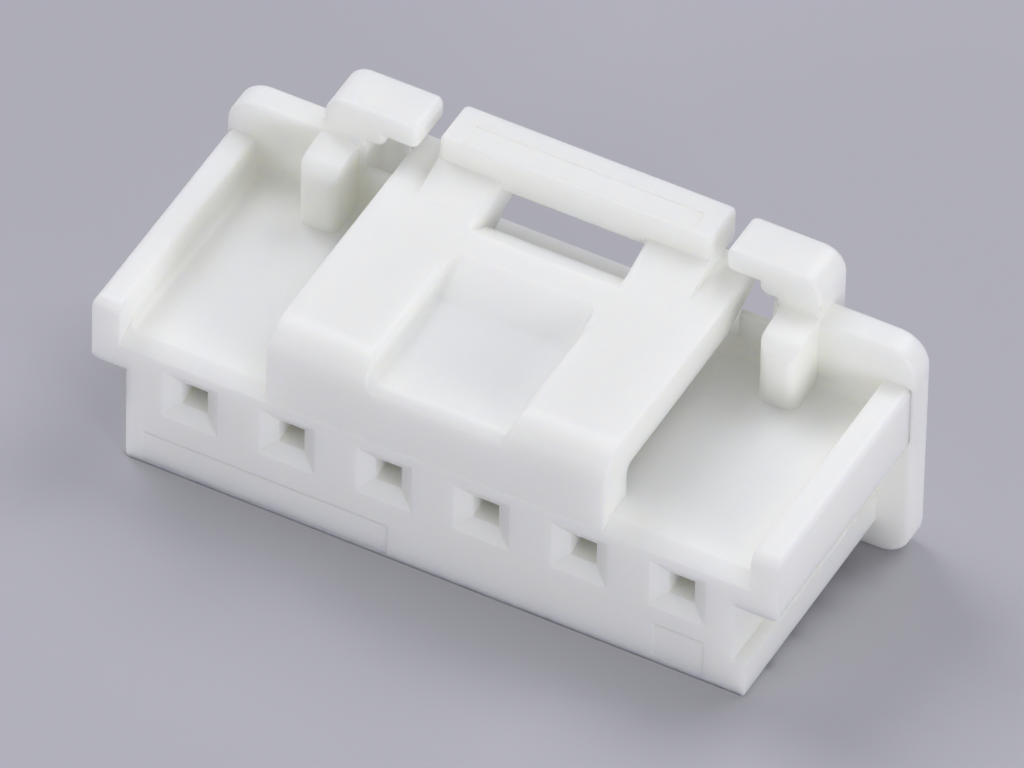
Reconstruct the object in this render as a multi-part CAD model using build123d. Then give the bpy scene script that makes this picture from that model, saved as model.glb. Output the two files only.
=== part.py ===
"""Six-way wire to board connector housing, 2 mm pitch, one moulding.

X runs along the row of circuits, Y from the mating face back to the wire side, Z up.
Heights are measured from the underside of the body that enters the header, and depths
from the mating face. The finished part is moved so that its origin is at the middle of
its footprint, level with its lowest edge.
"""

import os
from math import hypot

from build123d import *

# Circuits
circuits = 6
pitch = 2.00
end_margin = 1.32

# Body that enters the header
body_height = 2.20
body_depth = 5.15
body_edge_radius = 0.10

# Keying rib low on the right side of the body, with a groove above it
key_rib_height = 0.77
key_rib_proud = 0.11
key_groove_depth = 0.17

# Deck over the body, with a raised rail along each side
deck_overhang = 0.715
deck_floor = 2.93
rail_top = 3.66
rail_width = 0.57
rail_edge_radius = 0.14
rail_inner_radius = 0.07
rail_front_radius = 0.25
rail_root_radius = 0.18
deck_root_radius = 0.25
deck_underside_radius = 0.12
lip_drop = 0.20
lip_run = 0.30

# Flange at the wire side
flange_thickness = 0.65
flange_proud = 0.06
flange_top = 4.44
flange_drop = 0.70
flange_corner_radius = 0.63
flange_edge_radius = 0.12
saddle_rise = 0.37

# Gussets on the flange, beside the latch
gusset_gap = 0.04
gusset_rise = 0.60
gusset_ridge = 0.14
gusset_radius = 0.08

# Guards that hook over the shoulders of the latch
guard_gap = 3.165
guard_outer = 5.12
guard_leg = 0.93
guard_setback = 0.05
guard_depth = 1.08
guard_clearance = 0.34
guard_arm = 0.52
guard_heel_length = 0.34
guard_heel_drop = 0.27
guard_heel_radius = 0.20
guard_outer_radius = 0.48
guard_tip_radius = 0.16
guard_edge_radius = 0.12
guard_tail = 1.60
guard_tail_slope = 0.30
guard_return = 0.39
guard_return_depth = 0.30
guard_return_radius = 0.15

# Posts that brace the guards from the front
post_width = 0.78
post_depth = 0.96
post_front_height = 4.36
post_back_height = 4.50
post_top_radius = 0.40
post_side_radius = 0.20
post_blend_radius = 0.12

# Latch plate
latch_half_width = 3.47
latch_top = 4.45
latch_thickness = 0.80
latch_root_depth = 0.90
latch_root_radius = 0.20
latch_setback = 0.03
latch_shoulder_radius = 0.70
latch_reach = 0.25
latch_tip_thickness = 0.34
latch_taper_length = 1.20
latch_edge_radius = 0.06

# Recess, cross bar and window in the middle of the latch
recess_half_width = 1.48
recess_depth = 0.40
recess_front_radius = 0.30
recess_ramp_length = 0.95
recess_corner_radius = 0.20
recess_rim_radius = 0.14
bar_width = 0.57
bar_ramp_length = 0.56
bar_ramp_drop = 0.34
window_length = 0.60

# Press pad at the back of the latch
pad_half_width = 2.80
pad_ramp_length = 0.83
pad_ramp_rise = 0.26
pad_ramp_sink = 0.17
pad_reach = 0.585
pad_depth = 1.055
pad_height = 0.78
pad_edge_radius = 0.12
pad_step_half_width = 2.35
pad_step_depth = 0.59
pad_step_drop = 0.02

# Pin entries and terminal cavities
pin_height = 1.95
pin_opening = 0.53
lead_in_mouth = 1.14
lead_in_depth = 0.19
front_wall = 0.78
cavity_width = 1.50
cavity_floor = 0.55
cavity_roof = 2.50
nose_shelf_depth = 2.30
nose_ramp = 0.30
lance_window_width = 0.90
lance_window_front = 2.60
lance_window_depth = 1.00
entry_chamfer = 0.16

# Shallow plain panels on the mating face
panel_depth = 0.02
panel_left = 5.98
panel_length = 5.05
panel_height = 0.70
panel_base = 0.08
tab_left = 4.54
tab_length = 1.02
tab_height = 0.78
tab_base = 0.17

# Sizes worked out from the ones above
body_half = (circuits - 1) * pitch / 2 + end_margin
deck_half = body_half + deck_overhang
rail_inner = deck_half - rail_width
flange_back = body_depth + flange_thickness
saddle_height = deck_floor + saddle_rise
gusset_top = saddle_height + gusset_rise
recess_floor = latch_top - recess_depth
pad_top = latch_top + pad_height
guard_top = latch_top + guard_clearance + guard_arm
guard_front = body_depth + guard_setback
guard_back = guard_front + guard_depth
guard_inner = guard_outer - guard_leg
guard_arm_under = latch_top + guard_clearance
guard_foot = flange_top - guard_tail
post_inner = guard_outer - post_width
post_front = guard_front - post_depth
lip_base = deck_floor - lip_drop
latch_underside = latch_top - latch_thickness
latch_end = flange_back + latch_reach
pad_back = flange_back + pad_reach
pad_front = pad_back - pad_depth
bar_ramp_end = pad_front - window_length
bar_back = bar_ramp_end - bar_ramp_length
bar_front = bar_back - bar_width
recess_ramp_start = bar_front - recess_ramp_length
nose_shelf = pin_height - pin_opening / 2

# How far a cut reaches past what it cuts, and the slack in picking edges by place
clear = 1.0
slack = 0.01


def across(face, front, back):
    """Solid from an XZ face, between two depths."""
    return Pos(0, back, 0) * extrude(Plane.XZ * face, back - front)


def along(face, left, right):
    """Solid from a YZ face, between two places along the row."""
    return Pos(left, 0, 0) * extrude(Plane.YZ * face, right - left)


def upward(face, bottom, top):
    """Solid from an XY face, between two heights."""
    return Pos(0, 0, bottom) * extrude(face, top - bottom)


def outline(*points):
    return Polygon(*points, align=None)


def rectangle(left, right, bottom, top):
    return outline((left, bottom), (right, bottom), (right, top), (left, top))


def rounded_at(face, radius, *corners):
    """Round the corners of a face that lie nearest the given points."""
    for corner in corners:
        vertex = face.vertices().sort_by_distance((corner[0], corner[1], 0))[0]
        face = fillet(vertex, radius)
    return face


def rim(solid, axis, test):
    """Edges of the faces that look along an axis, where their middles pass a test."""
    edges = solid.faces().filter_by(axis).edges()
    return edges.filter_by(lambda edge: test(edge.center()))


def both_sides(solid):
    return solid + mirror(solid, Plane.YZ)


def pin_places():
    first = -(circuits - 1) * pitch / 2
    return [first + i * pitch for i in range(circuits)]


def body():
    rib = body_half + key_rib_proud
    groove = body_half - key_groove_depth
    face = outline(
        (-body_half, 0),
        (rib, 0),
        (rib, key_rib_height),
        (groove, key_rib_height),
        (groove, body_height),
        (-body_half, body_height),
    )
    face = rounded_at(face, body_edge_radius, (-body_half, 0), (rib, 0))
    return across(face, 0, flange_back - flange_edge_radius)


def deck():
    """Floor between the rails, with the chamfer along its front edge."""
    face = outline(
        (0, body_height),
        (body_depth, body_height),
        (body_depth, deck_floor),
        (lip_run, deck_floor),
        (0, lip_base),
    )
    return along(face, -rail_inner, rail_inner)


def rail():
    """Right-hand rail, rounded along its top and front."""
    section = rectangle(rail_inner, deck_half, body_height, rail_top)
    section = rounded_at(section, rail_edge_radius, (deck_half, rail_top))
    section = rounded_at(section, rail_inner_radius, (rail_inner, rail_top))
    section = rounded_at(section, deck_underside_radius, (deck_half, body_height))
    profile = rectangle(0, body_depth, body_height, rail_top)
    profile = rounded_at(profile, rail_front_radius, (0, rail_top))
    return across(section, 0, body_depth) & along(profile, rail_inner, deck_half)


def root_section(wall, radius):
    """Section of the fillet between the deck floor and a wall that stands on it."""
    corner = rectangle(wall - radius, wall, deck_floor, deck_floor + radius)
    return corner - Pos(wall - radius, deck_floor + radius) * Circle(radius)


def deck_root():
    """Fillet between the deck floor and the flange behind it."""
    return along(root_section(body_depth, deck_root_radius), -rail_inner, rail_inner)


def rail_root():
    """Fillet between the deck floor and the right-hand rail, sloped off like the lip."""
    section = root_section(rail_inner, rail_root_radius)
    rise = deck_floor + rail_root_radius
    slope = lip_run / lip_drop
    side = outline(
        (lip_run, deck_floor),
        (body_depth, deck_floor),
        (body_depth, rise),
        (lip_run + rail_root_radius * slope, rise),
    )
    return across(section, 0, body_depth) & along(side, rail_inner - rail_root_radius, rail_inner)


def flange():
    half = deck_half + flange_proud
    plate = rectangle(-half, half, -flange_drop, flange_top)
    plate = fillet(plate.vertices(), flange_corner_radius)
    solid = across(plate, body_depth, flange_back)
    solid = fillet(solid.faces().filter_by(Axis.Y).edges(), flange_edge_radius)
    saddle = rectangle(-guard_inner, guard_inner, saddle_height, flange_top + clear)
    return solid - across(saddle, body_depth - clear, flange_back + clear)


def gusset():
    """Right-hand gusset on the flange, between the latch and the guard."""
    side = outline(
        (body_depth, deck_floor),
        (flange_back, deck_floor),
        (flange_back, saddle_height),
        (body_depth + gusset_ridge, gusset_top),
        (body_depth, gusset_top),
    )
    side = rounded_at(side, gusset_radius, (body_depth, gusset_top))
    return along(side, latch_half_width + gusset_gap, guard_inner + gusset_gap)


def guard():
    """Right-hand guard, a hooked arm on a leg that runs down the back of the flange."""
    heel = guard_inner - guard_heel_length
    heel_under = guard_arm_under - guard_heel_drop
    face = outline(
        (guard_inner, guard_foot),
        (guard_outer, guard_foot),
        (guard_outer, guard_top),
        (guard_gap, guard_top),
        (guard_gap, guard_arm_under),
        (heel, guard_arm_under),
        (heel, heel_under),
        (guard_inner, heel_under),
    )
    face = rounded_at(face, guard_outer_radius, (guard_outer, guard_top))
    face = rounded_at(face, guard_heel_radius, (heel, heel_under))
    face = rounded_at(
        face, guard_tip_radius, (guard_gap, guard_top), (guard_gap, guard_arm_under)
    )
    solid = across(face, guard_front, guard_back) + guard_return_wall()
    ends = rim(solid, Axis.Y, lambda at: at.Y < guard_front + slack or at.Y > guard_back - slack)
    ends = ends.filter_by(lambda edge: edge.center().Z > guard_foot + slack)
    solid = fillet(ends, guard_edge_radius)
    side = outline(
        (guard_front, guard_foot),
        (flange_back, guard_foot),
        (guard_back, guard_foot + guard_tail_slope),
        (guard_back, guard_top),
        (guard_front, guard_top),
    )
    return solid & along(side, guard_gap, guard_outer)


def guard_return_wall():
    """Wall at the back of the guard that closes it off towards the latch."""
    inner = guard_inner - guard_return
    front = guard_back - guard_return_depth
    plan = outline(
        (inner, front),
        (guard_inner, front),
        (guard_inner, guard_front),
        (guard_inner + guard_return, guard_front),
        (guard_inner + guard_return, guard_back),
        (inner, guard_back),
    )
    plan = rounded_at(plan, guard_return_radius, (guard_inner, front))
    return upward(plan, guard_foot, guard_arm_under)


def post():
    """Right-hand brace between the deck floor and the front of the guard."""
    blend_top = post_back_height + 2 * post_blend_radius
    side = outline(
        (post_front, body_height),
        (guard_front + guard_edge_radius, body_height),
        (guard_front + guard_edge_radius, blend_top),
        (guard_front, blend_top),
        (guard_front, post_back_height),
        (post_front, post_front_height),
    )
    side = rounded_at(side, post_blend_radius, (guard_front, post_back_height))
    side = rounded_at(side, post_top_radius, (post_front, post_front_height))
    plan = rectangle(post_inner, guard_outer, post_front, guard_front + guard_edge_radius)
    plan = rounded_at(
        plan, post_side_radius, (post_inner, post_front), (guard_outer, post_front)
    )
    return along(side, post_inner, guard_outer) & upward(plan, body_height, guard_top)


def latch_blank():
    side = outline(
        (latch_setback, lip_base),
        (latch_root_depth, lip_base),
        (latch_root_depth, latch_underside),
        (latch_end - latch_taper_length, latch_underside),
        (latch_end, latch_top - latch_tip_thickness),
        (latch_end, latch_top),
        (latch_setback, latch_top),
    )
    side = rounded_at(side, latch_shoulder_radius, (latch_setback, latch_top))
    side = rounded_at(side, latch_root_radius, (latch_root_depth, latch_underside))
    side = rounded_at(side, latch_edge_radius, (latch_end, latch_top))
    solid = along(side, -latch_half_width, latch_half_width)
    shoulder = latch_top - latch_shoulder_radius
    upper = rim(solid, Axis.X, lambda at: at.Z > shoulder and at.Y < latch_end - slack)
    return fillet(upper, latch_edge_radius)


def recess_side():
    """Side view of the space over the recess, running out over the front of the latch."""
    ramp = (latch_top - recess_floor) / (bar_front - recess_ramp_start)
    over = latch_top + clear
    radius = recess_front_radius
    edge = latch_setback
    with BuildSketch() as face:
        with BuildLine():
            Polyline(
                (edge + radius, recess_floor),
                (recess_ramp_start, recess_floor),
                (recess_ramp_start + (over - recess_floor) / ramp, over),
                (-clear, over),
                (-clear, lip_base),
                (edge, lip_base),
                (edge, recess_floor - radius),
            )
            RadiusArc((edge, recess_floor - radius), (edge + radius, recess_floor), radius)
        make_face()
    return rounded_at(face.sketch, radius, (recess_ramp_start, recess_floor))


def recess_cut():
    solid = along(recess_side(), -recess_half_width, recess_half_width)
    floor = rim(solid, Axis.X, lambda at: at.Y > 0 and at.Z < latch_top + clear - slack)
    return fillet(floor, recess_corner_radius)


def window_side():
    return outline(
        (bar_back, latch_top + clear),
        (bar_back, latch_top),
        (bar_ramp_end, latch_top - bar_ramp_drop),
        (bar_ramp_end, latch_underside - slack),
        (latch_end + clear, latch_underside - slack),
        (latch_end + clear, latch_top + clear),
    )


def window_cut():
    return along(window_side(), -recess_half_width, recess_half_width)


def rim_cut():
    """Space that rounds off the top edges beside the recess and the window."""
    reach = recess_half_width + recess_rim_radius
    low = latch_top - recess_rim_radius
    section = rectangle(-reach, reach, low, latch_top + clear)
    for x in (-reach, reach):
        section = section - Pos(x, low) * Circle(recess_rim_radius)
    slope = (latch_top - recess_floor) / recess_ramp_length
    lift = recess_corner_radius * hypot(1, slope)
    beside = Pos(0, 0, lift) * along(recess_side(), -reach, reach)
    beside = beside + along(window_side(), -reach, reach)
    return across(section, -clear, latch_end + clear) & beside


def pad():
    side = rectangle(pad_front, pad_back, latch_top, pad_top)
    solid = along(side, -pad_half_width, pad_half_width)
    solid = fillet(solid.edges(), pad_edge_radius)
    step = rectangle(
        pad_front + pad_edge_radius,
        pad_front + pad_step_depth,
        pad_top - pad_step_drop,
        pad_top + clear,
    )
    return solid - along(step, -pad_step_half_width, pad_step_half_width)


def pad_ramp():
    """Right-hand ramp from the latch up to the front of the pad, beside the window."""
    mid = (pad_front + pad_back) / 2
    ramp_start = pad_front - pad_ramp_length
    root = latch_top - pad_ramp_sink
    below_edge = pad_top - 2 * pad_edge_radius
    face = outline(
        (ramp_start, latch_top),
        (ramp_start, root),
        (mid, root),
        (mid, below_edge),
        (pad_front + pad_edge_radius, below_edge),
        (pad_front, latch_top + pad_ramp_rise),
    )
    solid = along(face, recess_half_width, pad_half_width)
    slope = ((ramp_start + pad_front) / 2, latch_top + pad_ramp_rise / 2)
    inner = solid.edges().sort_by_distance((recess_half_width, slope[0], slope[1]))[0]
    return fillet(inner, recess_rim_radius)


def latch():
    solid = latch_blank() - recess_cut() - window_cut() - rim_cut()
    return solid + pad() + both_sides(pad_ramp())


def pin_entry():
    """Square pin opening with its tapered mouth, to be cut from the front wall."""
    mouth = Plane.XZ * Rectangle(lead_in_mouth, lead_in_mouth)
    throat = Plane.XZ.offset(-lead_in_depth) * Rectangle(pin_opening, pin_opening)
    funnel = loft([mouth, throat])
    bore = Box(pin_opening, front_wall + clear, pin_opening)
    bore = Pos(0, (front_wall + clear) / 2, 0) * bore
    return Pos(0, 0, pin_height) * (funnel + bore)


def cavity():
    """Space for one crimped terminal, open at the wire side."""
    side = outline(
        (front_wall, nose_shelf),
        (nose_shelf_depth, nose_shelf),
        (nose_shelf_depth + nose_ramp, cavity_floor),
        (flange_back + clear, cavity_floor),
        (flange_back + clear, cavity_roof),
        (front_wall, cavity_roof),
    )
    solid = along(side, -cavity_width / 2, cavity_width / 2)
    window = Box(lance_window_width, lance_window_depth, cavity_floor + clear)
    window = Pos(0, lance_window_front + lance_window_depth / 2, 0) * window
    return solid + window


def entry_bevel():
    """Lead-in around one cavity mouth at the wire side."""
    height = cavity_roof - cavity_floor
    grow = 2 * entry_chamfer
    place = Pos(0, 0, (cavity_roof + cavity_floor) / 2)
    outer = place * (Plane.XZ.offset(-flange_back) * Rectangle(cavity_width + grow, height + grow))
    inner = place * (
        Plane.XZ.offset(-flange_back + entry_chamfer) * Rectangle(cavity_width, height)
    )
    return loft([outer, inner])


def face_panel(left, length, base, height):
    panel = rectangle(left, left + length, base, base + height)
    return across(panel, -clear, panel_depth)


def housing():
    shell = body() + deck() + deck_root() + flange()
    shell = shell + both_sides(rail() + rail_root())
    shell = shell + both_sides(gusset()) + both_sides(guard()) + both_sides(post())
    shell = shell + latch()
    for x in pin_places():
        shell = shell - Pos(x, 0, 0) * pin_entry()
        shell = shell - Pos(x, 0, 0) * cavity()
        shell = shell - Pos(x, 0, 0) * entry_bevel()
    shell = shell - face_panel(-panel_left, panel_length, panel_base, panel_height)
    shell = shell - face_panel(tab_left, tab_length, tab_base, tab_height)
    middle = pad_back / 2
    return Pos(0, -middle, flange_drop) * shell


def main():
    os.makedirs("parts", exist_ok=True)
    export_step(housing(), "parts/housing.step")


main()
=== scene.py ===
# Wire to board connector housing in natural nylon: its finish, the sheet it lies on, light and camera
import math

import bpy
from mathutils import Matrix, Vector

mm = 0.001

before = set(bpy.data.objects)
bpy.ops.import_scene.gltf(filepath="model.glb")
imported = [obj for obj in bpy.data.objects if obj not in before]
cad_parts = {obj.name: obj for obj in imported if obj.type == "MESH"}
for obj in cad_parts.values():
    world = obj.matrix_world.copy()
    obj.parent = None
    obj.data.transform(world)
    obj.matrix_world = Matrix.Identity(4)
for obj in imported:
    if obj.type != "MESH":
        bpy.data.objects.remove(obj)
bpy.context.view_layer.update()
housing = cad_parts["housing"]


def linearColour(hexCode):  # sRGB hex to the linear colour that a socket takes
    shares = [int(hexCode[i : i + 2], 16) / 255 for i in (1, 3, 5)]
    linear = [s / 12.92 if s <= 0.04045 else ((s + 0.055) / 1.055) ** 2.4 for s in shares]
    return (*linear, 1)


def addNode(tree, kind, inputs=None, **settings):  # an input is a value, or the socket that feeds it
    node = tree.nodes.new(kind)
    for name, value in settings.items():
        setattr(node, name, value)
    for name, value in (inputs or {}).items():
        if isinstance(value, bpy.types.NodeSocket):
            tree.links.new(value, node.inputs[name])
        else:
            node.inputs[name].default_value = value
    return node


def newMaterial(name):
    material = bpy.data.materials.new(name)
    material.use_nodes = True
    material.node_tree.nodes.clear()
    return material


# Natural nylon, unpigmented, injection moulded in a spark eroded tool: milky white, light enters
# its surface a little way, and the fine matt grain of the tool keeps every highlight wide and soft
nylon = {
    "bodyColour": "#FEFEF7",  # nearly all light that enters comes out again, so deep corners stay light
    "flowColour": "#FCFDF1",  # where the melt flowed thinner, a trace more yellow
    "flowWidth": 2.5 * mm,
    "flowDetail": 3.0,
    "roughness": 0.42,
    "refraction": 1.53,
    "scatterShare": 1.0,
    "scatterDepth": 0.70 * mm,
    "scatterTint": (1.0, 0.95, 0.80),
    "grainWidth": 0.05 * mm,  # real grain is nearer 0.02 mm, drawn as coarse as it needs to show
    "grainHeight": 0.0012 * mm,
    "grainDetail": 2.0,
    "wavinessWidth": 0.9 * mm,
    "wavinessHeight": 0.004 * mm,
    "wavinessDetail": 1.0,
    "edgeRound": 0.035 * mm,  # the tool leaves no edge sharper than this
    "edgeSamples": 6,
}


def addNoise(tree, place, name):  # noise of the width and detail that the dictionary gives for name
    inputs = {"Vector": place, "Scale": 1 / nylon[name + "Width"], "Detail": nylon[name + "Detail"]}
    return addNode(tree, "ShaderNodeTexNoise", inputs).outputs[0]


def addBump(tree, height, name, normal):
    inputs = {"Height": height, "Distance": nylon[name + "Height"], "Normal": normal}
    return addNode(tree, "ShaderNodeBump", inputs).outputs[0]


def naturalNylon():
    material = newMaterial("natural_nylon")
    tree = material.node_tree
    place = addNode(tree, "ShaderNodeTexCoord").outputs["Object"]
    flow = addNoise(tree, place, "flow")
    grain = addNoise(tree, place, "grain")
    waviness = addNoise(tree, place, "waviness")
    # a colour mix takes its share at socket 0 and its two colours at 6 and 7
    tones = {0: flow, 6: linearColour(nylon["bodyColour"]), 7: linearColour(nylon["flowColour"])}
    colour = addNode(tree, "ShaderNodeMix", tones, data_type="RGBA").outputs[2]
    edge = addNode(tree, "ShaderNodeBevel", {"Radius": nylon["edgeRound"]}, samples=nylon["edgeSamples"])
    wavy = addBump(tree, waviness, "waviness", edge.outputs[0])
    grained = addBump(tree, grain, "grain", wavy)
    surface = {
        "Base Color": colour,
        "Roughness": nylon["roughness"],
        "IOR": nylon["refraction"],
        "Subsurface Weight": nylon["scatterShare"],
        "Subsurface Scale": nylon["scatterDepth"],
        "Subsurface Radius": nylon["scatterTint"],
        "Normal": grained,
    }
    shader = addNode(tree, "ShaderNodeBsdfPrincipled", surface)
    addNode(tree, "ShaderNodeOutputMaterial", {"Surface": shader.outputs[0]})
    return material


housing.material_slots[0].material = naturalNylon()
print("nylon on the housing")


# Matt grey sheet. The housing leans on the foot of its flange and on its front lower edge, so the
# sheet is level with the foot behind and with that edge in front, and slopes between the two
sheet = {
    "colour": "#BAB9C2",
    "roughness": 0.75,
    "reach": 1000 * mm,
    "frontRise": 0.70 * mm,
    "frontEdge": -3.19 * mm,
    "footEdge": 2.10 * mm,
    "steps": 24,
}


def sheetHeight(y):  # level in front, then a slope with soft ends, then level at the foot
    share = min(1, max(0, (y - sheet["frontEdge"]) / (sheet["footEdge"] - sheet["frontEdge"])))
    return sheet["frontRise"] * (1 - share * share * (3 - 2 * share))


def mattBoard():
    material = newMaterial("matt_grey_board")
    tree = material.node_tree
    surface = {"Base Color": linearColour(sheet["colour"]), "Roughness": sheet["roughness"]}
    shader = addNode(tree, "ShaderNodeBsdfPrincipled", surface)
    addNode(tree, "ShaderNodeOutputMaterial", {"Surface": shader.outputs[0]})
    return material


def makeSheet():
    run = sheet["footEdge"] - sheet["frontEdge"]
    stops = [sheet["frontEdge"] + run * i / sheet["steps"] for i in range(sheet["steps"] + 1)]
    stops = [-sheet["reach"], *stops, sheet["reach"]]
    corners = [(side * sheet["reach"], y, sheetHeight(y)) for y in stops for side in (-1, 1)]
    faces = [(2 * i, 2 * i + 1, 2 * i + 3, 2 * i + 2) for i in range(len(stops) - 1)]
    mesh = bpy.data.meshes.new("sheet")
    mesh.from_pydata(corners, [], faces)
    mesh.shade_smooth()
    mesh.materials.append(mattBoard())
    floor = bpy.data.objects.new("sheet", mesh)
    bpy.context.scene.collection.objects.link(floor)


makeSheet()
print("sheet laid")


# Soft lamps in a pale room: two above and behind light the tops, two low in front light the
# pin face and the keyed side
studio = {
    "roomColour": "#F3F4F8",
    "roomStrength": 0.37,
    "lampColour": "#FBFBFE",
    "lamps": [
        {"name": "backLeft", "from": (-0.23, 0.10, 0.31), "size": 0.20, "watts": 0.54},
        {"name": "backRight", "from": (0.11, 0.21, 0.31), "size": 0.20, "watts": 0.42},
        {"name": "frontRight", "from": (0.32, -0.19, 0.07), "size": 0.12, "watts": 0.48},
        {"name": "frontLeft", "from": (-0.17, -0.31, 0.12), "size": 0.12, "watts": 0.16},
    ],
}


def makeRoom():
    world = bpy.data.worlds.new("studio")
    world.use_nodes = True
    tree = world.node_tree
    tree.nodes.clear()
    glow = {"Color": linearColour(studio["roomColour"]), "Strength": studio["roomStrength"]}
    room = addNode(tree, "ShaderNodeBackground", glow)
    addNode(tree, "ShaderNodeOutputWorld", {"Surface": room.outputs[0]})
    return world


def makeLamp(lamp):  # a square lamp that faces the housing
    data = bpy.data.lights.new(lamp["name"], "AREA")
    data.size = lamp["size"]
    data.energy = lamp["watts"]
    data.color = linearColour(studio["lampColour"])[:3]
    light = bpy.data.objects.new(lamp["name"], data)
    light.location = lamp["from"]
    light.rotation_euler = (-Vector(lamp["from"])).to_track_quat("-Z", "Y").to_euler()
    bpy.context.scene.collection.objects.link(light)


bpy.context.scene.world = makeRoom()
for lamp in studio["lamps"]:
    makeLamp(lamp)
bpy.context.scene.view_settings.view_transform = "Standard"
print("lamps lit")


# Close-up lens, far enough back that the rows of edges stay nearly parallel
camera = {
    "azimuth": 27.255,
    "elevation": 44.383,
    "roll": 1.33,
    "aim": (0.047 * mm, -0.2445 * mm, 3.043 * mm),
    "distance": 362.966 * mm,
    "lens": 703.125,
    "clipRatio": 100,  # what is drawn starts at the distance divided by this, and ends at it times this
}


def placeCamera():
    turn, rise, roll = (math.radians(camera[k]) for k in ("azimuth", "elevation", "roll"))
    level = math.cos(rise)
    toCamera = Vector((math.sin(turn) * level, -math.cos(turn) * level, math.sin(rise)))
    right = Vector((math.cos(turn), math.sin(turn), 0))
    up = toCamera.cross(right)
    rolledRight = right * math.cos(roll) + up * math.sin(roll)
    rolledUp = up * math.cos(roll) - right * math.sin(roll)
    data = bpy.data.cameras.new("camera")
    data.lens = camera["lens"]
    data.clip_start = camera["distance"] / camera["clipRatio"]
    data.clip_end = camera["distance"] * camera["clipRatio"]
    eye = bpy.data.objects.new("camera", data)
    bpy.context.scene.collection.objects.link(eye)
    place = Matrix.Translation(Vector(camera["aim"]) + toCamera * camera["distance"])
    axes = Matrix((rolledRight, rolledUp, toCamera)).transposed()
    eye.matrix_world = place @ axes.to_4x4()
    bpy.context.scene.camera = eye


placeCamera()
print("camera placed")

bpy.context.view_layer.update()
